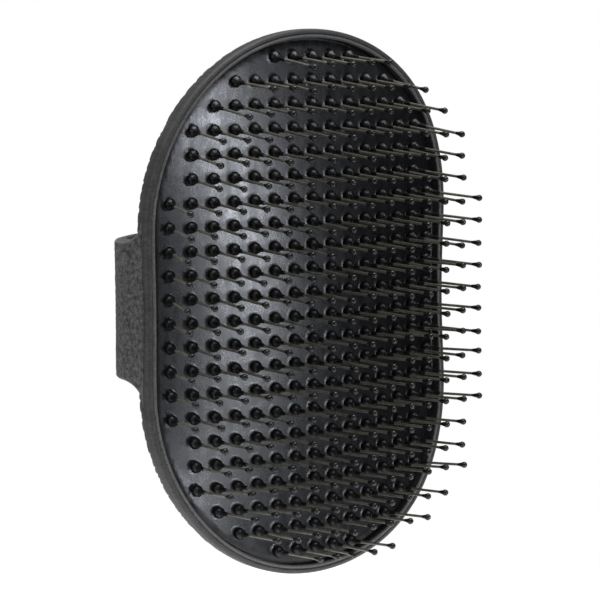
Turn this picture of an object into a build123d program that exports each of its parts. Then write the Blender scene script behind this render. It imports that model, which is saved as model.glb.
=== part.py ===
"""Oval grooming pad for horses: ball-tipped steel pins in a rubber face, with a hand strap.

The pad is held upright by its strap: +Z runs up the long axis, X runs across it, the pins point
towards -Y and the strap arches over the back, towards +Y.  Every layer is bent back about the
long axis, most at mid height where the strap pulls on the sides and hardly at all at the ends.
One STEP file is written for each piece.
"""
from build123d import *
import math
import os
import random

# Driving dimensions, in millimetres and degrees.
PITCH = 5.6                  # pin spacing, across and along
ROWS = 22
COLUMNS = 15
FIELD_RADIUS = 40.0          # pins fill an oval of this radius ...
FIELD_CENTRE = 21.0          # ... whose end centres lie this far from the middle

END_CENTRE = 19.6            # end centres of every outline from the middle
BODY_RADIUS = 45.6           # outside of the side wall
POCKET_RADIUS = 43.4         # inside of the rim, round the pad
PAD_RADIUS = 42.9
CAVITY_RADIUS = 42.3         # behind the ledge that carries the pad
BACKING_RADIUS = 41.5

BEND_REACH = 58.0            # height from the middle at which the bend fades by the shares below
PAD_BEND = 0.0059            # 1/mm at mid height
PAD_BEND_FADE = 0.744
BODY_BEND = 0.0046
BODY_BEND_FADE = 0.80

# Depths behind the middle of the pad's front face, along +Y.
RIM_FRONT = -1.3
PAD_BACK = 1.8
LEDGE = 1.95                 # the pad is bonded to it with a thin bed of glue
BACKING_FRONT = 2.9
BACKING_BACK = 3.4
FLOOR_FRONT = 4.6
BODY_BACK = 6.0
BACK_ROUNDING = 4.0
RIM_OUTER_ROUNDING = 1.0
RIM_INNER_ROUNDING = 0.5

# Along each pin, from the pad's front face.
WIRE_RADIUS = 0.31
TIP_HEIGHT = 16.2            # centre of the ball
BALL_RADIUS = 0.78
COLLAR_HEIGHT = 14.6         # where the bead's tapered collar begins
COLLAR_RADIUS = 0.42
COLLAR_REACH = 0.35          # share of the ball's radius below its centre at which the collar ends
SEAT_CLEARANCE = 0.01        # wire in bead
BOSS_RADIUS = 1.5
BOSS_CENTRE = 1.1
BOSS_FOOT = -0.35            # the boss is one with the sheet from here
BOSS_FOOT_RADIUS = 1.25
NECK_START = 2.15
NECK_START_RADIUS = 1.0
NECK_RADIUS = 0.66
MOUTH_HEIGHT = 3.0           # where the wire leaves its boss, and rocks
MOUTH_RADIUS = 0.50
THROAT_RADIUS = 0.74         # bore of the boss at its foot, wide enough for the wire to rock
HOLE_RADIUS = 0.88           # hole through the sheet under the boss
HEAD_RADIUS = 1.0
HEAD_FRONT = 2.25
HEAD_BACK = 2.5
PIN_ROCK = 4.0               # each way

# Pin directions: the shares by which pins lean away from square to the pad.
SPLAY = 0.026                # outward, growing with the distance from the middle column
SPLAY_EDGE = 0.09            # more at the outermost columns
SPLAY_END_LOSS = 0.059       # less towards the two ends
CORNER_PULL = 0.09           # the lower left corner's pins have been pushed inward by use
DROOP = 0.048
DROOP_GROWTH = 0.076
DROOP_CORNER = 0.06
DISORDER = 0.016             # hand-loaded pins never stand quite alike
DISORDER_LIMIT = 0.03
DISORDER_SEED = 11

# Hand strap.
STRAP_WIDTH = 32.4
STRAP_ROOT_WIDTH = 47.4
STRAP_THICKNESS = 2.8
STRAP_LAP = 1.2              # depth of the rebate in the side wall
STRAP_FRONT = 5.4            # front edge of the root
STRAP_SPRING = 10.5          # where the arch leaves the straight root
STRAP_RISE = 27.5
STRAP_FLARE_START = 6.6
STRAP_GLUE = 0.03

FAR = 60.0                   # reach of the cutting tools

# The row frame's origin is the middle of the space under the strap, where a hand or a hook holds it.
HAND_LOOP_DEPTH = 19.0
TO_ROW_FRAME = Location((0, -HAND_LOOP_DEPTH, 0))


def bend_curvature(bend, fade, height):
    return bend * (1.0 - fade * (height / BEND_REACH) ** 2)


def pad_depth(x, z):
    """Depth of the pad's front face."""
    return 0.5 * bend_curvature(PAD_BEND, PAD_BEND_FADE, z) * x * x


def bent_face(bend, fade, depth):
    """The face y = depth + curvature(z) x^2 / 2, which one Bezier patch holds exactly."""
    squares = (1.0, -1.0, 1.0)
    steps = (-1.0, 0.0, 1.0)
    half_x = 56.0
    half_z = 76.0
    fade_z = fade * (half_z / BEND_REACH) ** 2
    rows = []
    for step_x, square_x in zip(steps, squares):
        row = []
        for step_z, square_z in zip(steps, squares):
            y = depth + 0.5 * bend * half_x ** 2 * square_x * (1.0 - fade_z * square_z)
            row.append((half_x * step_x, y, half_z * step_z))
        rows.append(row)
    return Face.make_bezier_surface(rows)


def oval_prism(radius):
    slot = SlotCenterToCenter(2 * END_CENTRE, 2 * radius, rotation=90)
    return extrude(Plane.XZ * slot, amount=FAR, both=True)


def layer(radius, bend, fade, front, back):
    """An oval sheet between two depths, bent back at the sides."""
    sheet = extrude(bent_face(bend, fade, front), amount=back - front, dir=(0, 1, 0))
    return oval_prism(radius) & sheet


def pin_places():
    """Row, column, and the pin's place across and along the pad."""
    places = []
    for column in range(COLUMNS):
        across = (column - (COLUMNS - 1) / 2) * PITCH
        for row in range(ROWS):
            along = ((ROWS - 1) / 2 - row) * PITCH
            beyond = max(abs(along) - FIELD_CENTRE, 0.0)
            if math.hypot(across, beyond) <= FIELD_RADIUS:
                places.append((row, column, across, along))
    return places


def pin_frames():
    """One plane for each pin, by column: origin on the pad's face, z axis along the pin."""
    chance = random.Random(DISORDER_SEED)
    columns = [[] for _ in range(COLUMNS)]
    for row, column, across, along in pin_places():
        curvature = bend_curvature(PAD_BEND, PAD_BEND_FADE, along)
        turn = across * curvature
        x = math.sin(turn) / curvature
        base = Vector(x, pad_depth(x, along), along)
        side = across / FIELD_RADIUS
        end = along / BEND_REACH
        lean_x = SPLAY * side + SPLAY_EDGE * side ** 3 - SPLAY_END_LOSS * side * end ** 2
        lean_x += CORNER_PULL * max(-side, 0.0) * max(-end, 0.0)
        lean_z = -DROOP - DROOP_GROWTH * end - DROOP_CORNER * end * side ** 2
        stray_x = max(-DISORDER_LIMIT, min(DISORDER_LIMIT, chance.gauss(0.0, DISORDER)))
        stray_z = max(-DISORDER_LIMIT, min(DISORDER_LIMIT, chance.gauss(0.0, DISORDER)))
        direction = Vector(math.sin(turn) + lean_x + stray_x, -math.cos(turn), lean_z + stray_z)
        columns[column].append(Plane(origin=base, x_dir=(0, 0, 1), z_dir=direction.normalized()))
    return columns


def stack(radius, start, end, end_radius=None):
    """A cylinder or cone along z, from one height to another."""
    place = Location((0, 0, (start + end) / 2))
    if end_radius is None:
        return place * Cylinder(radius, end - start)
    return place * Cone(radius, end_radius, end - start)


def boss():
    """A hollow rubber ball on a short foot, which tapers to a neck round the wire."""
    dome = Location((0, 0, BOSS_CENTRE)) * Sphere(BOSS_RADIUS)
    foot = stack(BOSS_FOOT_RADIUS, BOSS_FOOT, BOSS_CENTRE)
    solid = dome + foot + stack(NECK_START_RADIUS, NECK_START, MOUTH_HEIGHT, NECK_RADIUS)
    above_foot = stack(2 * BOSS_RADIUS, BOSS_FOOT, MOUTH_HEIGHT)
    taper = (THROAT_RADIUS - MOUTH_RADIUS) / (MOUTH_HEIGHT - BOSS_FOOT)
    past = 0.2
    throat = stack(THROAT_RADIUS + taper * past, BOSS_FOOT - past,
                   MOUTH_HEIGHT + past, MOUTH_RADIUS - taper * past)
    return (solid & above_foot) - throat


def wire():
    return stack(WIRE_RADIUS, -HEAD_BACK, TIP_HEIGHT) + stack(HEAD_RADIUS, -HEAD_BACK, -HEAD_FRONT)


def bead():
    """A ball with a tapered collar, bored for the end of the wire."""
    waist = TIP_HEIGHT - COLLAR_REACH * BALL_RADIUS
    waist_radius = BALL_RADIUS * math.sqrt(1.0 - COLLAR_REACH ** 2)
    ball = Location((0, 0, TIP_HEIGHT)) * Sphere(BALL_RADIUS)
    body = ball + stack(COLLAR_RADIUS, COLLAR_HEIGHT, waist, waist_radius)
    past = BALL_RADIUS
    seat = stack(WIRE_RADIUS + SEAT_CLEARANCE, COLLAR_HEIGHT - past, TIP_HEIGHT + SEAT_CLEARANCE)
    return body - seat


def pin_pad(frames):
    """Rubber face with a hole and a hollow boss for every pin."""
    sheet = layer(PAD_RADIUS, PAD_BEND, PAD_BEND_FADE, 0.0, PAD_BACK)
    hole = stack(HOLE_RADIUS, -2 * PAD_BACK, BOSS_RADIUS)
    hollow_boss = boss()
    everywhere = [frame.location for column in frames for frame in column]
    pierced = sheet.cut(*[place * hole for place in everywhere])
    return pierced.fuse(*[place * hollow_boss for place in everywhere])


def strap_outline():
    """The strap seen from the side: wide where it meets the wall, narrow over the hand."""
    half_root = STRAP_ROOT_WIDTH / 2
    half_band = STRAP_WIDTH / 2
    flare = half_root - half_band
    flare_end = STRAP_FLARE_START + flare
    upper = [
        Line((STRAP_FRONT, half_root), (STRAP_FLARE_START, half_root)),
        RadiusArc((STRAP_FLARE_START, half_root), (flare_end, half_band), flare),
        Line((flare_end, half_band), (FAR, half_band)),
    ]
    lower = [mirror(edge, about=Plane.XZ) for edge in upper]
    ends = [
        Line((STRAP_FRONT, -half_root), (STRAP_FRONT, half_root)),
        Line((FAR, -half_band), (FAR, half_band)),
    ]
    face = make_face([*upper, *lower, *ends])
    return extrude(Plane.YZ * face, amount=FAR, both=True)


def arch(half_width, rise):
    """Everything inside an arch that springs from two straight sides."""
    straight = Rectangle(2 * half_width, STRAP_SPRING + FAR, align=(Align.CENTER, Align.MAX))
    crown = Ellipse(half_width, rise)
    return extrude(Location((0, STRAP_SPRING)) * (straight + crown), amount=FAR, both=True)


def strap_ring():
    outer = arch(BODY_RADIUS, STRAP_RISE)
    inner = arch(BODY_RADIUS - STRAP_THICKNESS, STRAP_RISE - STRAP_THICKNESS)
    return (outer - inner) & strap_outline()


def lap_space(play):
    """The rebates in the two side walls that the strap's roots are bonded into."""
    depth = STRAP_LAP + play
    width = STRAP_ROOT_WIDTH + 2 * play
    place = Location((BODY_RADIUS - depth, STRAP_FRONT - play, 0))
    one_side = place * Box(FAR, FAR, width, align=(Align.MIN, Align.MIN, Align.CENTER))
    return one_side + mirror(one_side, about=Plane.YZ)


def oval_face(solid, place):
    """The bent oval face at the front (0) or the back (-1) of a sheet."""
    return solid.faces().filter_by(GeomType.BEZIER).sort_by(Axis.Y)[place]


def cover_blank():
    """The cover before it is hollowed: a bent oval slab with rounded edges."""
    slab = layer(BODY_RADIUS, BODY_BEND, BODY_BEND_FADE, RIM_FRONT, BODY_BACK)
    slab = fillet(oval_face(slab, -1).edges(), BACK_ROUNDING)
    return fillet(oval_face(slab, 0).edges(), RIM_OUTER_ROUNDING)


def hand_strap(blank):
    return strap_ring() - (blank - lap_space(0.0))


def back_cover(blank):
    """Rubber tray: side wall with a rounded back, and a ledge inside that carries the pad."""
    pocket = layer(POCKET_RADIUS, PAD_BEND, PAD_BEND_FADE, LEDGE - FAR, LEDGE)
    tray = blank - pocket
    rim_edges = oval_face(tray, 0).inner_wires()[0].edges()
    tray = fillet(rim_edges, RIM_INNER_ROUNDING)
    cavity = layer(CAVITY_RADIUS, BODY_BEND, BODY_BEND_FADE, FLOOR_FRONT - FAR, FLOOR_FRONT)
    return tray - cavity - lap_space(STRAP_GLUE)


def pieces():
    frames = pin_frames()
    blank = cover_blank()
    parts = {
        "back_cover": back_cover(blank),
        "hand_strap": hand_strap(blank),
        "backing_sheet": layer(BACKING_RADIUS, PAD_BEND, PAD_BEND_FADE, BACKING_FRONT, BACKING_BACK),
        "pin_pad": pin_pad(frames),
    }
    wire_shape = wire()
    bead_shape = bead()
    for number, column in enumerate(frames, start=1):
        parts[f"pin_column_{number:02d}"] = Compound([frame.location * wire_shape for frame in column])
        parts[f"pin_tips_{number:02d}"] = Compound([frame.location * bead_shape for frame in column])
    return parts


def main():
    os.makedirs("parts", exist_ok=True)
    for name, shape in pieces().items():
        export_step(TO_ROW_FRAME * shape, f"parts/{name}.step")


if __name__ == "__main__":
    main()
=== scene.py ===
"""Looks of the oval grooming pad: rubber cover, strap and pin pad, steel wires and beads.

Shapes are worked out in millimetres in the pad's own coordinates: X across the oval, Z along
it, Y away from the pins, with the origin in the middle of the pad's front face.  place()
turns them into the row frame, in metres.
"""

import math
import random

import bmesh
import bpy
import numpy as np
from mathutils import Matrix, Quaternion, Vector, noise
from mathutils.geometry import delaunay_2d_cdt


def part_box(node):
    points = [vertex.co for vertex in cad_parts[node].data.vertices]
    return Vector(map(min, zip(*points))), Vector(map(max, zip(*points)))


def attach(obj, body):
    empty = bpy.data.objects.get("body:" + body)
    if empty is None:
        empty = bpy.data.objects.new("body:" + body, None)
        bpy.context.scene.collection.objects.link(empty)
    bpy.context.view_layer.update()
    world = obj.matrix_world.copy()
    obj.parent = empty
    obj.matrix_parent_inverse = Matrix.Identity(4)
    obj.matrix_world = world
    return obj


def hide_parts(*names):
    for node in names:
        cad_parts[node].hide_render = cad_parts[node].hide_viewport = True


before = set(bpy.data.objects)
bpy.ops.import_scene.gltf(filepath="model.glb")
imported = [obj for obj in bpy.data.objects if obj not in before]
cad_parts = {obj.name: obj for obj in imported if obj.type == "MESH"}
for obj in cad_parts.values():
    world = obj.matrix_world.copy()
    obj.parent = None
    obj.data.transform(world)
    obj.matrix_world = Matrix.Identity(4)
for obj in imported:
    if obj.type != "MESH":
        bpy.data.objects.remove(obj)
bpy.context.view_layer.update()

# ---- Sizes, in millimetres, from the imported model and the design.
MM = 0.001
cover_low, cover_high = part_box("back_cover")
MID_HEIGHT = (cover_high.z + cover_low.z) / 2 / MM
BODY_RADIUS = (cover_high.x - cover_low.x) / 2 / MM
HALF_LENGTH = (cover_high.z - cover_low.z) / 2 / MM
END_CENTRE = HALF_LENGTH - BODY_RADIUS
RIM_FRONT = -1.3                 # the rim stands this far in front of the pad's face
FACE_DEPTH = cover_low.y / MM - RIM_FRONT    # the pad face's middle, in the row frame

POCKET_RADIUS = BODY_RADIUS - 2.2
PAD_RADIUS = BODY_RADIUS - 2.7
CAVITY_RADIUS = BODY_RADIUS - 3.3
PAD_THICKNESS = 1.8
LEDGE = 1.95                     # the pad rests on this step of the cover
CAVITY_FLOOR = 4.6
BODY_BACK = 6.0
BODY_MIDDLE = 2.5                # a depth inside the wall, from which the outside faces away
BACK_ROUNDING = 5.2

BEND_REACH = 58.0                # height at which the bend has lost its full share
PAD_BEND = (0.0059, 0.744)       # curvature at mid height, and the share lost at BEND_REACH
BODY_BEND = (0.0046, 0.80)
WAIST = 0.35                     # how far the outline is drawn in at mid height ...
SHOULDER = 0.45                  # ... and stands out at the corners

PITCH = 5.6
ROWS = 22
COLUMNS = 15
FIELD_RADIUS = 40.0              # pins stand inside an oval of this radius ...
FIELD_CENTRE = 21.0              # ... with its end centres at this height
WIRE_RADIUS = 0.33
TIP_HEIGHT = 16.2
BALL_RADIUS = 0.78
HEAD_BACK = -2.5                 # heights along a pin are from the pad's face
HEAD_FRONT = -2.3
HEAD_RADIUS = 0.92
SPLAY = 0.026                    # leans are tangents: outward to the sides ...
SPLAY_EDGE = 0.09                # ... more so at the edges ...
SPLAY_END_LOSS = 0.059           # ... and less towards the ends
CORNER_PULL = 0.09               # the lower left pins lean less outward
DROOP = 0.048                    # downward everywhere ...
DROOP_GROWTH = 0.076             # ... and from both ends towards mid height ...
DROOP_CORNER = 0.06              # ... more so in the corners
DISORDER = 0.016                 # spread of the chance lean of each pin
DISORDER_LIMIT = 0.03
DISORDER_SEED = 11

STRAP_HALF_WIDTH = (16.1, 16.8)  # over the hand, at the outer and the inner surface
STRAP_HALF_ROOT = (22.0, 23.0)   # where it meets the wall
STRAP_FLARE = 9.0                # depth over which the root narrows to the band
STRAP_FRONT = 5.4
STRAP_SPRING = 10.5              # depth at which the straight roots turn into the arch
STRAP_RISE = 27.5                # height of the arch above its springing
STRAP_THICKNESS = 2.8

# ---- Camera, at the viewing angle of the photograph.
VIEW_AZIMUTH = -38.616
VIEW_ELEVATION = 5.582
VIEW_ROLL = 0.337
VIEW_DISTANCE = 0.6583           # metres
VIEW_TARGET = (-2.2, 1.73, -0.28)
LENS = 165.3
SHIFT_X = 0.0013
SHIFT_Y = 0.0068

# ---- Studio: radiances, with 1.0 as plain white.
ROOM_BRIGHTNESS = 0.02
SWEEP_BRIGHTNESS = 0.4
SWEEP_START = -0.1               # the sweep fades in between these Y parts of a direction
SWEEP_END = 0.4
FLOOR_RADIUS = 0.2               # metres
FLOOR_DROP = 0.04                # metres below the pad, which a hand would hold
FLOOR_GLOW = 0.7


def place(points):
    """Pad coordinates in millimetres to the row frame in metres."""
    shift = np.array((0.0, FACE_DEPTH, MID_HEIGHT))
    return (np.asarray(points, float) + shift) * MM


def curvature(bend, z):
    """Curvature of the cross section at a height; it fades towards both ends."""
    return bend[0] * (1.0 - bend[1] * (z / BEND_REACH) ** 2)


def bent_depth(bend, x, z):
    """How far the bent face lies behind its own middle line."""
    return 0.5 * curvature(bend, z) * x * x


def oval_radius(x, z):
    """Distance of points from the middle line between the two end centres."""
    return np.hypot(x, np.maximum(np.abs(z) - END_CENTRE, 0.0))


def outline_swell(x, z):
    """How far the moulding's outline stands out from a true oval."""
    beyond = np.maximum(np.abs(z) - END_CENTRE, 0.0)
    square = np.maximum(x * x + beyond * beyond, 1e-9)
    corner = (2.0 * x * beyond / square) ** 2
    middle = np.clip(1.0 - (z / END_CENTRE) ** 2, 0.0, 1.0) ** 2
    return SHOULDER * corner - WAIST * middle


# ---- Mesh helpers.

def ring_faces(rows, columns, start=0):
    """Quads between neighbouring rings of vertices."""
    faces = []
    for i in range(rows - 1):
        below = start + i * columns
        above = below + columns
        for j in range(columns):
            k = (j + 1) % columns
            faces.append((below + j, below + k, above + k, above + j))
    return faces


def capped_faces(rows, columns):
    """Quads between neighbouring rings, and one face over each end."""
    faces = ring_faces(rows, columns)
    faces.append(tuple(range(columns)))
    faces.append(tuple(reversed(range((rows - 1) * columns, rows * columns))))
    return faces


def finish_piece(name, points, faces, material, body, node, marks=None, sharp_angle=50.0):
    """A smooth-shaded object in the row frame, which stands for a CAD node if one is named."""
    mesh = bpy.data.meshes.new(name)
    mesh.from_pydata(place(points).tolist(), [], faces)
    for mark, values in (marks or {}).items():
        mesh.attributes.new(mark, "FLOAT", "POINT").data.foreach_set("value", values)
    work = bmesh.new()
    work.from_mesh(mesh)
    bmesh.ops.recalc_face_normals(work, faces=work.faces)
    work.to_mesh(mesh)
    work.free()
    mesh.shade_smooth()
    mesh.set_sharp_from_angle(angle=math.radians(sharp_angle))
    mesh.materials.append(material)
    piece = bpy.data.objects.new(name, mesh)
    bpy.context.scene.collection.objects.link(piece)
    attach(piece, body)
    if node:
        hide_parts(node)
    return piece


def smooth_step(low, high, value):
    share = np.clip((value - low) / (high - low), 0.0, 1.0)
    return share * share * (3.0 - 2.0 * share)


def pebbles(points, cell, crease=0.28):
    """Height of a leather-like grain, from 0 in the creases to 1 on the pebbles."""
    heights = np.empty(len(points))
    for i, point in enumerate(points):
        near, second = noise.voronoi(Vector(point) / cell)[0][:2]
        heights[i] = second - near
    return smooth_step(0.0, crease, heights)


def swell(points, cell):
    """Soft unevenness between -1 and 1."""
    return np.array([noise.noise(Vector(point) / cell) for point in points])


def ring_normals(grid):
    """Unit normals of closed rings of points, rings by points by 3."""
    along = np.gradient(grid, axis=0)
    across = np.roll(grid, -1, axis=1) - np.roll(grid, 1, axis=1)
    normals = np.cross(along, across)
    length = np.linalg.norm(normals, axis=2, keepdims=True)
    return normals / np.maximum(length, 1e-9)


def push_out(grid, lift, away):
    """The points of a closed surface, each moved by its lift along the normal that faces away."""
    normals = ring_normals(grid).reshape(-1, 3)
    facing = np.sign(np.einsum("ij,ij->i", normals, away))
    return grid.reshape(-1, 3) + normals * (lift * facing)[:, None]


# ---- Materials.

class Shader:
    """A Principled material and short ways to add nodes to it."""

    def __init__(self, name, **values):
        self.material = bpy.data.materials.new(name)
        self.material.use_nodes = True
        self.tree = self.material.node_tree
        self.surface = self.tree.nodes["Principled BSDF"]
        for socket, value in values.items():
            self.surface.inputs[socket.replace("_", " ")].default_value = value

    def node(self, kind, values=None, **settings):
        made = self.tree.nodes.new(kind)
        for name, value in settings.items():
            setattr(made, name, value)
        for socket, value in (values or {}).items():
            made.inputs[socket].default_value = value
        return made

    def link(self, output, target):
        self.tree.links.new(output, target)

    def position(self, stretch=(1.0, 1.0, 1.0)):
        """Object position in millimetres, stretched."""
        coordinates = self.node("ShaderNodeTexCoord")
        mapping = self.node("ShaderNodeMapping", {"Scale": [s / MM for s in stretch]})
        self.link(coordinates.outputs["Object"], mapping.inputs["Vector"])
        return mapping.outputs["Vector"]

    def noise(self, place, size, detail=4.0, roughness=0.55):
        made = self.node("ShaderNodeTexNoise",
                         {"Scale": 1.0 / size, "Detail": detail, "Roughness": roughness})
        self.link(place, made.inputs["Vector"])
        return made.outputs["Fac"]

    def mark(self, name):
        return self.node("ShaderNodeAttribute", attribute_name=name).outputs["Fac"]

    def spread(self, value, low, high, start=0.3, end=0.7):
        """A value mapped from start..end to low..high."""
        made = self.node("ShaderNodeMapRange", {"From Min": start, "From Max": end,
                                                "To Min": low, "To Max": high})
        self.link(value, made.inputs["Value"])
        return made.outputs["Result"]

    def maths(self, operation, first, second):
        made = self.node("ShaderNodeMath", operation=operation)
        for socket, value in zip(made.inputs, (first, second)):
            if isinstance(value, (int, float)):
                socket.default_value = value
            else:
                self.link(value, socket)
        return made.outputs["Value"]

    def tint(self, share, first, second):
        made = self.node("ShaderNodeMix", data_type="RGBA")
        self.link(share, made.inputs["Factor"])
        for socket, value in (("A", first), ("B", second)):
            target = [s for s in made.inputs if s.name == socket and s.type == "RGBA"][0]
            if isinstance(value, tuple):
                target.default_value = (*value, 1.0)
            else:
                self.link(value, target)
        return [s for s in made.outputs if s.type == "RGBA"][0]

    def bump(self, height, distance, strength=1.0):
        """distance is the depth of the relief, in millimetres."""
        made = self.node("ShaderNodeBump", {"Strength": strength, "Distance": distance * MM})
        self.link(height, made.inputs["Height"])
        self.link(made.outputs["Normal"], self.surface.inputs["Normal"])

    def drive(self, socket, value):
        self.link(value, self.surface.inputs[socket])


def cover_rubber():
    """Semi-matt black rubber: drawn streaks on the wall, paler along the ridges, which is edge wear
    and a painted highlight on the bead round the pad.
    """
    shader = Shader("cover_rubber")
    even = shader.position()
    streaks = shader.noise(shader.position((1.0, 0.07, 1.0)), 0.45, detail=3.0)
    speckle = shader.noise(even, 0.22, detail=3.0)
    cloud = shader.maths("MULTIPLY", shader.noise(even, 5.0), streaks)
    base = shader.tint(shader.spread(cloud, 0.0, 1.0, 0.12, 0.4),
                       (0.022, 0.022, 0.023), (0.062, 0.061, 0.060))
    # paler tint along the ridge mark: edge wear and a painted highlight, strongest on the bead round
    # the pad
    wear_and_highlight = shader.maths("MULTIPLY", shader.mark("ridge"), shader.spread(streaks, 0.35, 1.0))
    shader.drive("Base Color", shader.tint(wear_and_highlight, base, (0.190, 0.186, 0.180)))
    shader.drive("Roughness", shader.spread(speckle, 0.42, 0.62))
    relief = shader.maths("ADD", streaks, shader.maths("MULTIPLY", speckle, 0.6))
    shader.bump(relief, 0.10)
    return shader.material


def strap_rubber():
    """The same rubber, moulded with a leather-like grain."""
    shader = Shader("strap_rubber")
    even = shader.position()
    speckle = shader.noise(even, 0.25, detail=4.0)
    cloud = shader.noise(even, 0.9, detail=5.0, roughness=0.75)
    base = shader.tint(shader.spread(cloud, 0.0, 1.0, 0.4, 0.62),
                       (0.022, 0.022, 0.023), (0.175, 0.175, 0.178))
    # pale tint along the edges from the ridge mark: wear and a painted highlight line
    shader.drive("Base Color", shader.tint(shader.mark("ridge"), base, (0.19, 0.188, 0.185)))
    shader.drive("Roughness", shader.spread(speckle, 0.45, 0.68))
    shader.bump(speckle, 0.16)
    return shader.material


def pad_rubber():
    """Blue-black satin rubber, mottled where it was handled; the bosses are blacker."""
    shader = Shader("pad_rubber")
    even = shader.position()
    mottle = shader.noise(even, 5.0, detail=5.0)
    patch = shader.noise(shader.position((1.0, 1.0, 0.45)), 2.4, detail=3.0)
    speckle = shader.noise(even, 0.3, detail=2.0)
    bloom = shader.tint(shader.spread(mottle, 0.0, 1.0),
                        (0.005, 0.0052, 0.0065), (0.009, 0.0093, 0.0115))
    boss = shader.mark("boss")
    shader.drive("Base Color", shader.tint(boss, bloom, (0.010, 0.010, 0.0105)))
    sheet_gloss = shader.maths("ADD", shader.spread(patch, 0.235, 0.335),
                               shader.spread(speckle, -0.03, 0.03))
    boss_gloss = shader.spread(speckle, 0.26, 0.40)
    difference = shader.maths("SUBTRACT", boss_gloss, sheet_gloss)
    shader.drive("Roughness", shader.maths("ADD", sheet_gloss,
                                           shader.maths("MULTIPLY", boss, difference)))
    dents = shader.noise(even, 4.0, detail=1.0)
    shader.bump(shader.maths("ADD", dents, shader.maths("MULTIPLY", speckle, 0.4)), 0.026)
    return shader.material


def pin_steel():
    """Drawn wire with an olive tarnish."""
    shader = Shader("pin_steel", Metallic=0.45)
    drawn = shader.noise(shader.position((1.0, 0.08, 1.0)), 0.12, detail=3.0)
    tarnish = shader.noise(shader.position(), 2.2, detail=3.0)
    shader.drive("Base Color", shader.tint(shader.spread(tarnish, 0.0, 1.0),
                                           (0.15, 0.143, 0.112), (0.28, 0.272, 0.23)))
    shader.drive("Roughness", shader.spread(drawn, 0.30, 0.48))
    shader.bump(drawn, 0.012)
    return shader.material


def tip_resin():
    """Glossy dark resin that the bead was dipped in."""
    shader = Shader("tip_resin", IOR=1.5)
    flow = shader.noise(shader.position(), 0.8, detail=2.0)
    shader.drive("Base Color", shader.tint(shader.spread(flow, 0.0, 1.0),
                                           (0.009, 0.009, 0.009), (0.026, 0.025, 0.024)))
    shader.drive("Roughness", shader.spread(flow, 0.15, 0.26))
    shader.bump(flow, 0.03)
    return shader.material


def backing_rubber():
    """Plain stiff sheet behind the pin heads."""
    shader = Shader("backing_sheet_rubber")
    fibre = shader.noise(shader.position(), 0.5)
    shader.drive("Base Color", shader.tint(fibre, (0.03, 0.03, 0.03), (0.06, 0.06, 0.06)))
    shader.drive("Roughness", shader.spread(fibre, 0.6, 0.8))
    shader.bump(fibre, 0.05)
    return shader.material


# ---- The cover.

HUB_RADIUS = 0.4                 # innermost ring of the floor and the back, closed by one face
STATION_SPACING = 0.40
BACK_PEBBLE = 2.5                # size of the grain on the back
BACK_GRAIN = 0.9                 # size of the finer grain on it
PEBBLE_LIFT = 0.30
GRAIN_LIFT = 0.06
BACK_SINK = 0.20                 # creases stay below the true surface
BACK_GRAIN_START = (1.5, 3.6)    # depths over which the grain fades in down the wall
ROOT_SINK = 0.35                 # the wall under the strap's root lies this far inside ...
ROOT_FADE = 0.3                  # ... and steps in over this width


def oval_stations(spacing, radius):
    """(end centre, outward x, outward z) at even steps round the oval."""
    stations = []
    straight = int(round(2 * END_CENTRE / spacing))
    turn = int(round(math.pi * radius / spacing))
    for side in (1, -1):
        for i in range(straight):
            stations.append((side * END_CENTRE * (2 * i / straight - 1), float(side), 0.0))
        for i in range(turn):
            angle = math.pi * i / turn
            stations.append((side * END_CENTRE, side * math.cos(angle), side * math.sin(angle)))
    return np.array(stations)


def arc(centre, radius, start, end, steps):
    """Points of an arc in (radius, depth), angles in degrees from the outward direction."""
    points = []
    for i in range(steps + 1):
        angle = math.radians(start + (end - start) * i / steps)
        points.append((centre[0] + radius * math.cos(angle), centre[1] + radius * math.sin(angle)))
    return points


def run(first, last, steps):
    """Points between two points, without the first."""
    first, last = np.array(first), np.array(last)
    return [tuple(first + (last - first) * (i + 1) / steps) for i in range(steps)]


def cover_profile():
    """Rows of (radius, depth, share of the pad's bend, ridge mark), from the floor's middle
    outward, over the rim, down the side wall and over the back to its middle; and how many
    of the rows line the inside."""
    bead = 0.45                                  # radius of the bead round the pad
    bead_centre = (POCKET_RADIUS + bead, RIM_FRONT + bead)
    ridge = 0.90                                 # rounding of the rim's outer edge
    ridge_drop = 0.05                            # how far the ridge stays behind the bead
    ridge_centre = (BODY_RADIUS - ridge, RIM_FRONT + ridge + ridge_drop)
    valley_width = 0.08
    valley_depth = 0.28
    valley = (POCKET_RADIUS + 2 * bead + valley_width, RIM_FRONT + valley_depth)
    pocket_top = 0.2                             # depth of the pocket wall's last inner row
    back_centre = (BODY_RADIUS - BACK_ROUNDING, BODY_BACK - BACK_ROUNDING)
    inner = [(r, CAVITY_FLOOR, 0.0) for r in (HUB_RADIUS, CAVITY_RADIUS / 2, CAVITY_RADIUS)]
    inner += [(CAVITY_RADIUS, LEDGE, 1.0), (POCKET_RADIUS, LEDGE, 1.0)]
    inner += [(POCKET_RADIUS, depth, 0.5) for depth in (1.0, pocket_top)]
    bead_start = (POCKET_RADIUS, bead_centre[1])
    section = [(r, d, 0.0, 0.0) for r, d in run((POCKET_RADIUS, pocket_top), bead_start, 5)]
    # the ridge mark is 1 on the bead, whose pale tint is wear and a painted highlight, and 0.25 on
    # the rim's outer edge
    section += [(r, d, 0.0, 1.0) for r, d in arc(bead_centre, bead, 180, 330, 12)]
    section += [(*valley, 0.0, 0.0)]
    section += [(r, d, 0.0, 0.25) for r, d in arc(ridge_centre, ridge, 262, 360, 12)]
    wall_end = (BODY_RADIUS, back_centre[1])
    section += [(r, d, 0.0, 0.0) for r, d in run((BODY_RADIUS, ridge_centre[1]), wall_end, 10)]
    section += [(r, d, 0.0, 0.0) for r, d in arc(back_centre, BACK_ROUNDING, 0, 90, 22)[1:]]
    back_edge, back_middle = (back_centre[0], BODY_BACK), (HUB_RADIUS, BODY_BACK)
    section += [(r, d, 0.0, 0.0) for r, d in run(back_edge, back_middle, 92)]
    return np.array([(*point, 0.0) for point in inner] + section), len(inner)


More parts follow.
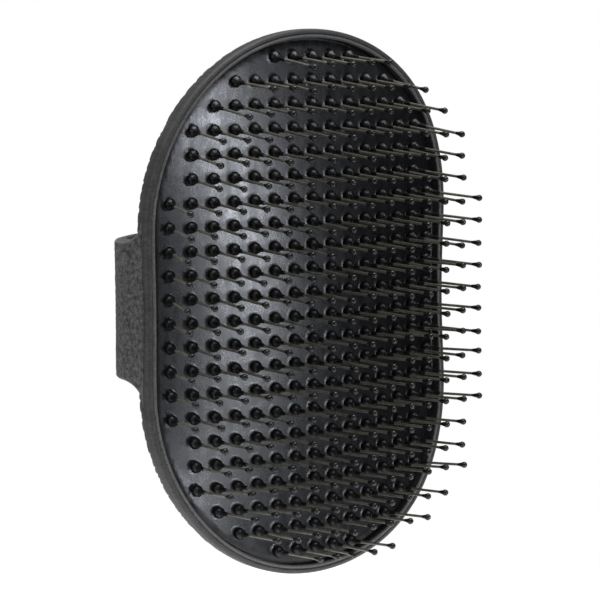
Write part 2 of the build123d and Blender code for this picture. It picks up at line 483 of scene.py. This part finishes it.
def strap_root_depth(x, y, z):
    """How far inside the outline of the strap's root a point of the wall lies."""
    inside = np.minimum(strap_half_width(y, 0.0) - np.abs(z), y - STRAP_FRONT)
    return np.where(np.abs(x) > BODY_RADIUS / 2, inside, -1.0)


def cover_grid(profile):
    """The profile carried round the oval and bent: rings of points from the floor to the back."""
    stations = oval_stations(STATION_SPACING, BODY_RADIUS)
    radius, depth, share = profile[:, 0:1], profile[:, 1:2], profile[:, 2:3]
    x = radius * stations[:, 1]
    z = stations[:, 0] + radius * stations[:, 2]
    swollen = outline_swell(x, z) * smooth_step(CAVITY_RADIUS / 2, CAVITY_RADIUS, radius)
    x = x + swollen * stations[:, 1]
    z = z + swollen * stations[:, 2]
    bend = share * bent_depth(PAD_BEND, x, z) + (1.0 - share) * bent_depth(BODY_BEND, x, z)
    return np.stack([x, depth + bend, z], axis=2)


def cover_relief(points, depths, outside):
    """Height of the grain over the back; under the strap's root the wall steps in instead."""
    back = smooth_step(*BACK_GRAIN_START, depths) * outside
    relief = np.zeros(len(points))
    where = back > 0
    coarse = pebbles(points[where], BACK_PEBBLE, crease=0.30)
    fine = pebbles(points[where], BACK_GRAIN)
    relief[where] = back[where] * (PEBBLE_LIFT * coarse + GRAIN_LIFT * fine - BACK_SINK)
    sunk = smooth_step(-ROOT_FADE, 0.0, strap_root_depth(*points.T)) * outside
    return relief * (1.0 - sunk) - ROOT_SINK * sunk


def build_cover(material):
    profile, inner_rows = cover_profile()
    grid = cover_grid(profile)
    rows, columns = grid.shape[:2]
    points = grid.reshape(-1, 3)
    outside = np.arange(rows * columns) >= inner_rows * columns
    relief = cover_relief(points, np.repeat(profile[:, 1], columns), outside)
    points = push_out(grid, relief, points - (0.0, BODY_MIDDLE, 0.0))
    return finish_piece("cover", points, capped_faces(rows, columns), material, "grip",
                        "back_cover", {"ridge": np.repeat(profile[:, 3], columns)})


# ---- The strap.

ARCH_STEPS = 300
ROOT_STEPS = 8
STRAP_PEBBLE = 1.3               # size of the strap's grain
STRAP_PEBBLE_LIFT = 0.16
STRAP_SINK = 0.09
STRAP_UNEVEN = 0.10              # height of slow waves in the surface ...
STRAP_WAVE = 4.0                 # ... and their size
GRAIN_DEPTH = 0.02               # the grain reaches this far round the outer corners
ROOT_RELIEF = 0.25               # share of the relief that is left at the roots
WEAR_AND_HIGHLIGHT_DEPTH = 0.15                # the edges are painted palest this far below the surface: wear and a painted highlight line
WEAR_AND_HIGHLIGHT_SPREAD = 0.2


def strap_half_width(y, through):
    """Half width at a depth y, from the outer surface (through 0) to the inner one (through 1):
    the edges slope, and sweep out to the root in a quarter of an ellipse."""
    band = STRAP_HALF_WIDTH[0] + (STRAP_HALF_WIDTH[1] - STRAP_HALF_WIDTH[0]) * through
    root = STRAP_HALF_ROOT[0] + (STRAP_HALF_ROOT[1] - STRAP_HALF_ROOT[0]) * through
    before_end = 1.0 - np.clip((y - STRAP_FRONT) / STRAP_FLARE, 0.0, 1.0)
    return root - (root - band) * np.sqrt(1.0 - before_end ** 2)


def arch_line(inset, steps):
    """Points of the arch from the left root over the crown to the right root."""
    half, rise = BODY_RADIUS - inset, STRAP_RISE - inset
    points = [(-half, y) for y in np.linspace(STRAP_FRONT, STRAP_SPRING, ROOT_STEPS)[:-1]]
    for i in range(steps + 1):
        angle = math.pi * (1 - i / steps)
        points.append((half * math.cos(angle), STRAP_SPRING + rise * math.sin(angle)))
    points += [(half, y) for y in np.linspace(STRAP_SPRING, STRAP_FRONT, ROOT_STEPS)[1:]]
    return np.array(points)


def strap_section(outer_steps, inner_steps):
    """(depth below the outer surface, share of the half width, inset from the edge) round
    the band: over the outer surface, round one edge, back along the inner one, and round."""
    outer_edge, inner_edge = 0.45, 0.7           # radii of the rounded corners
    outer_turn, inner_turn = 8, 6                # steps round them
    side = []
    for i in range(1, outer_turn):
        angle = math.pi / 2 * i / outer_turn
        side.append((outer_edge * (1 - math.cos(angle)), outer_edge * (1 - math.sin(angle))))
    side.append((outer_edge, 0.0))
    for i in range(inner_turn):
        angle = math.pi / 2 * i / inner_turn
        side.append((STRAP_THICKNESS - inner_edge * (1 - math.sin(angle)),
                     inner_edge * (1 - math.cos(angle))))
    section = [(0.0, -1 + 2 * i / outer_steps, outer_edge) for i in range(outer_steps + 1)]
    section += [(depth, 1.0, inset) for depth, inset in side]
    section += [(STRAP_THICKNESS, 1 - 2 * i / inner_steps, inner_edge)
                for i in range(inner_steps + 1)]
    section += [(depth, -1.0, inset) for depth, inset in reversed(side)]
    return np.array(section)


def strap_grid(section):
    """The section carried along the arch."""
    outer = arch_line(0.0, ARCH_STEPS)
    inner = arch_line(STRAP_THICKNESS, ARCH_STEPS)
    through = section[:, 0] / STRAP_THICKNESS
    line = outer[:, None, :] + (inner - outer)[:, None, :] * through[None, :, None]
    x, y = line[..., 0], line[..., 1]
    half = strap_half_width(y, through[None, :])
    z = section[None, :, 1] * (half - section[None, :, 2])
    return np.stack([x, y, z], axis=2)


def strap_relief(points, outside):
    """Height of the grain and the slow waves over the outer surface, fainter at the roots."""
    relief = np.zeros(len(points))
    coarse = pebbles(points[outside], STRAP_PEBBLE, crease=0.30)
    waves = swell(points[outside], STRAP_WAVE)
    relief[outside] = STRAP_PEBBLE_LIFT * coarse - STRAP_SINK + STRAP_UNEVEN * waves
    above_root = smooth_step(STRAP_FRONT + 1.0, STRAP_FRONT + 4.0, points[:, 1])
    return relief * (ROOT_RELIEF + (1.0 - ROOT_RELIEF) * above_root)


def build_strap(material):
    section = strap_section(outer_steps=90, inner_steps=40)
    grid = strap_grid(section)
    rows, columns = grid.shape[:2]
    points = grid.reshape(-1, 3)
    relief = strap_relief(points, np.tile(section[:, 0] < GRAIN_DEPTH, rows))
    away = (points - (0.0, STRAP_SPRING, 0.0)) * (1.0, 1.0, 0.0)
    points = push_out(grid, relief, away)
    on_edge = np.abs(section[:, 1]) == 1.0
    # pale band round the edges just below the outer surface: wear and a painted highlight line
    wear_and_highlight = np.exp(-((section[:, 0] - WEAR_AND_HIGHLIGHT_DEPTH) / WEAR_AND_HIGHLIGHT_SPREAD) ** 2) * on_edge
    return finish_piece("strap", points, capped_faces(rows, columns), material, "grip",
                        "hand_strap", {"ridge": np.tile(wear_and_highlight, rows)})


# ---- Pins.

def pin_frames():
    """(foot, surface normal, pin direction) for each pin, by column."""
    chance = random.Random(DISORDER_SEED)
    columns = []
    for column in range(COLUMNS):
        across = (column - (COLUMNS - 1) / 2) * PITCH
        pins = []
        for row in range(ROWS):
            along = ((ROWS - 1) / 2 - row) * PITCH
            beyond = max(abs(along) - FIELD_CENTRE, 0.0)
            if math.hypot(across, beyond) > FIELD_RADIUS:
                continue
            bend = curvature(PAD_BEND, along)
            turn = across * bend
            x = math.sin(turn) / bend
            foot = Vector((x, bent_depth(PAD_BEND, x, along), along))
            side, end = across / FIELD_RADIUS, along / BEND_REACH
            lean_x = SPLAY * side + SPLAY_EDGE * side ** 3 - SPLAY_END_LOSS * side * end ** 2
            lean_x += CORNER_PULL * max(-side, 0.0) * max(-end, 0.0)
            lean_z = -DROOP - DROOP_GROWTH * end - DROOP_CORNER * end * side ** 2
            stray_x = max(-DISORDER_LIMIT, min(DISORDER_LIMIT, chance.gauss(0.0, DISORDER)))
            stray_z = max(-DISORDER_LIMIT, min(DISORDER_LIMIT, chance.gauss(0.0, DISORDER)))
            direction = Vector((math.sin(turn) + lean_x + stray_x, -math.cos(turn),
                                lean_z + stray_z)).normalized()
            normal = Vector((math.sin(turn), -math.cos(turn), 0.0))
            pins.append((foot, normal, direction))
        columns.append(pins)
    return columns


SKIN = 0.01                      # least thickness of what covers the wire
PLUG_RADIUS = 0.43
NECK_CLEARANCE = 0.07            # lets the neck tip on the boss as its pin rocks
WIRE_SEGMENTS = 14
NECK_SEGMENTS = 20
TIP_SEGMENTS = 20


def axes_round(direction):
    """Two unit vectors square to a direction."""
    first = Vector((0.0, 0.0, 1.0))
    first = (first - direction * first.dot(direction)).normalized()
    return first, direction.cross(first)


def lathe(profile, pins, segments):
    """The same turned profile of (radius, height) on every pin, closed at both ends."""
    angles = np.arange(segments) * (2 * math.pi / segments)
    points, faces = [], []
    for foot, _, direction in pins:
        first, second = axes_round(direction)
        start = len(points)
        for radius, height in profile:
            centre = np.array(foot + direction * height)
            ring = np.outer(np.cos(angles), first) + np.outer(np.sin(angles), second)
            points.extend(centre + radius * ring)
        faces += ring_faces(len(profile), segments, start)
        last = start + (len(profile) - 1) * segments
        faces.append(tuple(range(start + segments - 1, start - 1, -1)))
        faces.append(tuple(range(last, last + segments)))
    return np.array(points), faces


def wire_profile():
    """(radius, height) of the flat head and the wire, up to the middle of the bead."""
    edge = 0.05                                  # bevel of the head's rim
    fillet = 0.1                                 # between the head and the wire
    return [(HEAD_RADIUS - edge, HEAD_BACK), (HEAD_RADIUS, HEAD_BACK + edge),
            (HEAD_RADIUS, HEAD_FRONT - edge), (HEAD_RADIUS - edge, HEAD_FRONT),
            (WIRE_RADIUS + fillet, HEAD_FRONT), (WIRE_RADIUS, HEAD_FRONT + fillet),
            (WIRE_RADIUS, TIP_HEIGHT / 2), (WIRE_RADIUS, TIP_HEIGHT)]


def tip_profile():
    """A ball with a collar drawn back along the wire, as dipping leaves it."""
    collar = [(WIRE_RADIUS + SKIN, 14.35), (0.37, 14.42), (0.41, 14.7), (0.46, 15.0), (0.54, 15.3)]
    ball = []
    for degrees in range(-46, 90, 8):
        angle = math.radians(degrees)
        ball.append((BALL_RADIUS * math.cos(angle), TIP_HEIGHT + BALL_RADIUS * math.sin(angle)))
    return collar + ball + [(2 * SKIN, TIP_HEIGHT + BALL_RADIUS)]


def neck_profile():
    """The end of the boss's neck, which grips the wire and moves with it. A plug in the boss's
    mouth carries it."""
    foot = MOUTH_HEIGHT + NECK_CLEARANCE
    on_wire = WIRE_RADIUS + 2 * SKIN
    return [(on_wire, 2.7), (PLUG_RADIUS, 2.75), (PLUG_RADIUS, foot), (0.61, foot), (0.60, 3.15),
            (0.53, 3.6), (0.48, 4.2), (0.44, 4.7), (0.41, 5.0), (0.38, 5.1), (on_wire, 5.14)]


def build_pins(columns, steel, resin, rubber):
    """For each column its necks, wires and beads, each a group of separate turned pieces."""
    for number, pins in enumerate(columns, start=1):
        body = f"pins_{number:02d}"
        points, faces = lathe(neck_profile(), pins, NECK_SEGMENTS)
        finish_piece(f"necks_{number:02d}", points, faces, rubber, body, None,
                     {"boss": np.ones(len(points))})
        points, faces = lathe(wire_profile(), pins, WIRE_SEGMENTS)
        finish_piece(f"wires_{number:02d}", points, faces, steel, body,
                     f"pin_column_{number:02d}")
        points, faces = lathe(tip_profile(), pins, TIP_SEGMENTS)
        finish_piece(f"tips_{number:02d}", points, faces, resin, body,
                     f"pin_tips_{number:02d}")


# ---- The pad.

RING_POINTS = 24
FOOT_RADIUS = 1.12               # ring on the pad's face from which a boss rises
BOSS_RADIUS = 1.42
BOSS_CENTRE = 1.15
BOSS_FOOT_RADIUS = 1.02
TURN_HEIGHT = 2.0                # a boss has turned to the wire's line at this height
MOUTH_HEIGHT = 3.0
REAR_HOLE_RADIUS = 0.80
REAR_RING_RADIUS = 1.35          # where the pad's back meets the hole's edge
OUTLINE_STEPS = 620
RING_MARGIN = 0.35               # no grid point lies nearer than this to a boss ...
OUTLINE_MARGIN = 0.5             # ... or than this to the pad's edge
EDGE_DIP = 0.15                  # the face's edge is tucked in behind the bead
BLACK_FADE = 0.06                # width over which a boss's black meets the pad's colour
TINY = 0.001


def boss_profile():
    """(radius, height) from the foot over the ball to the mouth, and back down the bore; and
    how black each ring is, with the one in the pad's back as the last."""
    foot = [(BOSS_FOOT_RADIUS + 0.03, 0.03), (BOSS_FOOT_RADIUS, 0.08), (BOSS_FOOT_RADIUS, 0.16)]
    ball = []
    for degrees in range(-42, 54, 10):
        angle = math.radians(degrees)
        ball.append((BOSS_RADIUS * math.cos(angle), BOSS_CENTRE + BOSS_RADIUS * math.sin(angle)))
    neck = [(0.82, 2.36), (0.74, 2.52), (0.69, 2.72), (0.66, 2.9), (0.63, 2.98)]
    mouth = [(0.60, MOUTH_HEIGHT), (0.50, MOUTH_HEIGHT)]
    bore = [(0.72, 0.0), (0.80, -0.35)]
    profile = foot + ball + neck + mouth + bore
    blackness = [min((FOOT_RADIUS - radius) / BLACK_FADE, 1.0) for radius, _ in foot]
    blackness += [1.0] * (len(profile) + 1 - len(foot))
    return profile, blackness


def boss_ring(pin, radius, height):
    """A ring round a pin, square to the pad at its foot and square to the wire at its neck."""
    foot, normal, direction = pin
    share = min(max(height / TURN_HEIGHT, 0.0), 1.0)
    axis = normal.lerp(direction, share).normalized()
    first, second = axes_round(axis)
    angles = np.arange(RING_POINTS) * (2 * math.pi / RING_POINTS)
    ring = np.outer(np.cos(angles), first) + np.outer(np.sin(angles), second)
    return np.array(foot + axis * height) + radius * ring


def on_pad(ring, depth):
    """A ring dropped on to the pad's bent face, or its back."""
    dropped = ring.copy()
    dropped[:, 1] = bent_depth(PAD_BEND, ring[:, 0], ring[:, 2]) + depth
    return dropped


def rear_ring(pin):
    """The hole's edge in the pad's back, in line with the wire."""
    foot, normal, direction = pin
    behind = foot - direction * PAD_THICKNESS
    return on_pad(boss_ring((behind, normal, direction), REAR_HOLE_RADIUS, 0.0), PAD_THICKNESS)


def pad_outline():
    """The pad's oval edge in (x, z)."""
    stations = oval_stations(2 * math.pi * PAD_RADIUS / OUTLINE_STEPS, PAD_RADIUS)
    swollen = outline_swell(PAD_RADIUS * stations[:, 1], stations[:, 0] + PAD_RADIUS * stations[:, 2])
    radius = PAD_RADIUS + swollen
    return np.stack([radius * stations[:, 1], stations[:, 0] + radius * stations[:, 2]], axis=1)


def pad_face_mesh(rings, outline):
    """Triangles that fill the oval round the bosses: points in (x, z) and corner indices.
    The rings come first, then the outline, then points on an even grid between them."""
    step = PITCH / 6
    feet = np.array([ring.mean(axis=0) for ring in rings])
    xs = np.arange(-PAD_RADIUS, PAD_RADIUS + step, step)
    zs = np.arange(-END_CENTRE - PAD_RADIUS, END_CENTRE + PAD_RADIUS + step, step)
    grid = np.stack(np.meshgrid(xs, zs), axis=2).reshape(-1, 2)
    grid = grid[oval_radius(*grid.T) < PAD_RADIUS + outline_swell(*grid.T) - OUTLINE_MARGIN]
    nearest = np.array([np.min(np.hypot(*(feet - point).T)) for point in grid])
    grid = grid[nearest > FOOT_RADIUS + RING_MARGIN]
    points = np.concatenate([*rings, outline, grid])
    loops = [np.arange(len(ring)) + start * RING_POINTS for start, ring in enumerate(rings)]
    loops.append(np.arange(len(outline)) + len(rings) * RING_POINTS)
    edges = [(int(a), int(b)) for loop in loops for a, b in zip(loop, np.roll(loop, -1))]
    found = delaunay_2d_cdt([Vector(p) for p in points.tolist()], edges, [], 0, 1e-6)
    triangles, origins = found[2], found[3]
    corners = np.array([[origins[v][0] for v in triangle] for triangle in triangles])
    centres = points[corners].mean(axis=1)
    nearest = np.array([np.min(np.hypot(*(feet - point).T)) for point in centres])
    inside = oval_radius(*centres.T) < PAD_RADIUS + outline_swell(*centres.T) - TINY
    just_inside = 0.96                           # triangles within a boss's ring are dropped
    ring_flat = FOOT_RADIUS * math.cos(math.pi / RING_POINTS)
    return points, corners[(nearest > just_inside * ring_flat) & inside]


def pad_sheet(feet, outline):
    """The bent sheet with a gap under each boss: its front and back points, and its faces."""
    flat, corners = pad_face_mesh([foot[:, [0, 2]] for foot in feet], outline)
    count = len(flat)
    front = np.stack([flat[:, 0], bent_depth(PAD_BEND, *flat.T), flat[:, 1]], axis=1)
    back = front + (0.0, PAD_THICKNESS, 0.0)
    edge_start = len(feet) * RING_POINTS
    centres = np.repeat([foot.mean(axis=0) for foot in feet], RING_POINTS, axis=0)
    back[:edge_start] += (REAR_RING_RADIUS / FOOT_RADIUS - 1.0) * (front[:edge_start] - centres)
    front[edge_start:edge_start + len(outline), 1] += EDGE_DIP
    faces = [tuple(c) for c in corners.tolist()]
    faces += [tuple(c) for c in (corners[:, ::-1] + count).tolist()]
    for i in range(len(outline)):
        a, b = edge_start + i, edge_start + (i + 1) % len(outline)
        faces.append((a, b, b + count, a + count))
    return front, back, faces


def boss_faces(number, start, rows, back_start):
    """A boss's own quads, and those that join it to the sheet's front and back."""
    faces = ring_faces(rows, RING_POINTS, start)
    last = start + (rows - 1) * RING_POINTS
    for i in range(RING_POINTS):
        k = (i + 1) % RING_POINTS
        foot_i, foot_k = number * RING_POINTS + i, number * RING_POINTS + k
        faces.append((foot_i, foot_k, start + k, start + i))
        faces.append((last + i, last + k, back_start + foot_k, back_start + foot_i))
    return faces


def build_pad(columns, material):
    """One closed moulding: the bent sheet, a boss on each pin, and a bore through each."""
    pins = [pin for column in columns for pin in column]
    feet = [on_pad(boss_ring(pin, FOOT_RADIUS, 0.0), 0.0) for pin in pins]
    front, back, faces = pad_sheet(feet, pad_outline())
    profile, blackness = boss_profile()
    rows = len(profile) + 1
    points = [front, back]
    for number, pin in enumerate(pins):
        rings = [boss_ring(pin, radius, height) for radius, height in profile]
        points.append(np.concatenate([*rings, rear_ring(pin)]))
        start = len(front) + len(back) + number * rows * RING_POINTS
        faces += boss_faces(number, start, rows, len(front))
    sheet_marks = np.zeros(len(front) + len(back))
    boss_marks = np.tile(np.repeat(blackness, RING_POINTS), len(pins))
    return finish_piece("pad", np.concatenate(points), faces, material, "grip", "pin_pad",
                        {"boss": np.concatenate([sheet_marks, boss_marks])})


# ---- The studio.

def direction_to(azimuth, elevation):
    """Unit vector from the object towards a point round it; azimuth 0 is the pins' side."""
    a, e = math.radians(azimuth), math.radians(elevation)
    return Vector((math.sin(a) * math.cos(e), -math.cos(a) * math.cos(e), math.sin(e)))


def add_camera():
    target = Vector(place([VIEW_TARGET])[0])
    back = direction_to(VIEW_AZIMUTH, VIEW_ELEVATION)
    data = bpy.data.cameras.new("camera")
    data.lens = LENS
    data.shift_x = SHIFT_X
    data.shift_y = SHIFT_Y
    data.clip_start = 0.01
    camera = bpy.data.objects.new("camera", data)
    camera.rotation_mode = "QUATERNION"
    camera.location = target + back * VIEW_DISTANCE
    roll = Quaternion(-back, math.radians(VIEW_ROLL))
    camera.rotation_quaternion = roll @ (-back).to_track_quat("-Z", "Y")
    bpy.context.scene.collection.objects.link(camera)
    bpy.context.scene.camera = camera


def add_softbox(name, azimuth, elevation, distance, size, brightness, colour=(1.0, 1.0, 1.0),
                shadows=True):
    """A rectangular light that faces the object, so many metres off. brightness is its radiance."""
    target = Vector(place([(0.0, 0.0, 0.0)])[0])
    back = direction_to(azimuth, elevation)
    data = bpy.data.lights.new(name, "AREA")
    data.shape = "RECTANGLE"
    data.size, data.size_y = size
    data.energy = brightness * math.pi * size[0] * size[1]
    data.color = colour
    data.use_shadow = shadows
    light = bpy.data.objects.new(name, data)
    light.location = target + back * distance
    light.rotation_mode = "QUATERNION"
    light.rotation_quaternion = (-back).to_track_quat("-Z", "Y")
    light.visible_camera = False
    bpy.context.scene.collection.objects.link(light)


def add_world():
    """A dim room with a white sweep behind the object. The backdrop itself shows plain white."""
    world = bpy.data.worlds.new("studio")
    world.use_nodes = True
    tree = world.node_tree
    tree.nodes.clear()
    coordinates = tree.nodes.new("ShaderNodeTexCoord")
    parts = tree.nodes.new("ShaderNodeSeparateXYZ")
    ramp = tree.nodes.new("ShaderNodeMapRange")
    for socket, value in (("From Min", SWEEP_START), ("From Max", SWEEP_END),
                          ("To Min", ROOM_BRIGHTNESS), ("To Max", SWEEP_BRIGHTNESS)):
        ramp.inputs[socket].default_value = value
    tree.links.new(coordinates.outputs["Generated"], parts.inputs["Vector"])
    tree.links.new(parts.outputs["Y"], ramp.inputs["Value"])
    room = tree.nodes.new("ShaderNodeBackground")
    tree.links.new(ramp.outputs["Result"], room.inputs["Strength"])
    backdrop = tree.nodes.new("ShaderNodeBackground")
    for background in (room, backdrop):
        background.inputs["Color"].default_value = (1.0, 1.0, 1.0, 1.0)
    path = tree.nodes.new("ShaderNodeLightPath")
    choose = tree.nodes.new("ShaderNodeMixShader")
    tree.links.new(path.outputs["Is Camera Ray"], choose.inputs["Fac"])
    tree.links.new(room.outputs["Background"], choose.inputs[1])
    tree.links.new(backdrop.outputs["Background"], choose.inputs[2])
    output = tree.nodes.new("ShaderNodeOutputWorld")
    tree.links.new(choose.outputs["Shader"], output.inputs["Surface"])
    bpy.context.scene.world = world


def add_floor():
    """A round white board under the pad, which is held above it."""
    mesh = bpy.data.meshes.new("floor")
    steps = 96
    rim = []
    for i in range(steps):
        angle = 2 * math.pi * i / steps
        rim.append((FLOOR_RADIUS * math.cos(angle), FLOOR_RADIUS * math.sin(angle),
                    cover_low.z - FLOOR_DROP))
    mesh.from_pydata(rim, [], [tuple(range(steps))])
    shader = Shader("floor_paper", Roughness=0.9, Emission_Color=(1.0, 1.0, 1.0, 1.0),
                    Emission_Strength=FLOOR_GLOW)
    grain = shader.noise(shader.position(), 3.0)
    shader.drive("Base Color", shader.tint(grain, (0.58, 0.58, 0.58), (0.62, 0.62, 0.62)))
    mesh.materials.append(shader.material)
    floor = bpy.data.objects.new("floor", mesh)
    bpy.context.scene.collection.objects.link(floor)


def build_studio():
    add_camera()
    add_world()
    add_floor()
    add_softbox("front_box", 23.0, -2.6, 0.6, (0.11, 0.05), 52.0, colour=(0.88, 0.92, 1.0),
                shadows=False)
    add_softbox("side_box", -85.0, 12.0, 0.8, (0.2, 0.6), 1.6)
    add_softbox("top_box", -10.0, 78.0, 0.9, (0.9, 0.6), 5.0)
    bpy.context.scene.view_settings.view_transform = "Standard"


def build_object():
    """Every visible piece. The backing sheet keeps its CAD shape and gets a material."""
    columns = pin_frames()
    build_cover(cover_rubber())
    build_strap(strap_rubber())
    rubber = pad_rubber()
    build_pad(columns, rubber)
    build_pins(columns, pin_steel(), tip_resin(), rubber)
    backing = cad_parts["backing_sheet"]
    backing.data.materials.clear()
    backing.data.materials.append(backing_rubber())


build_object()
build_studio()
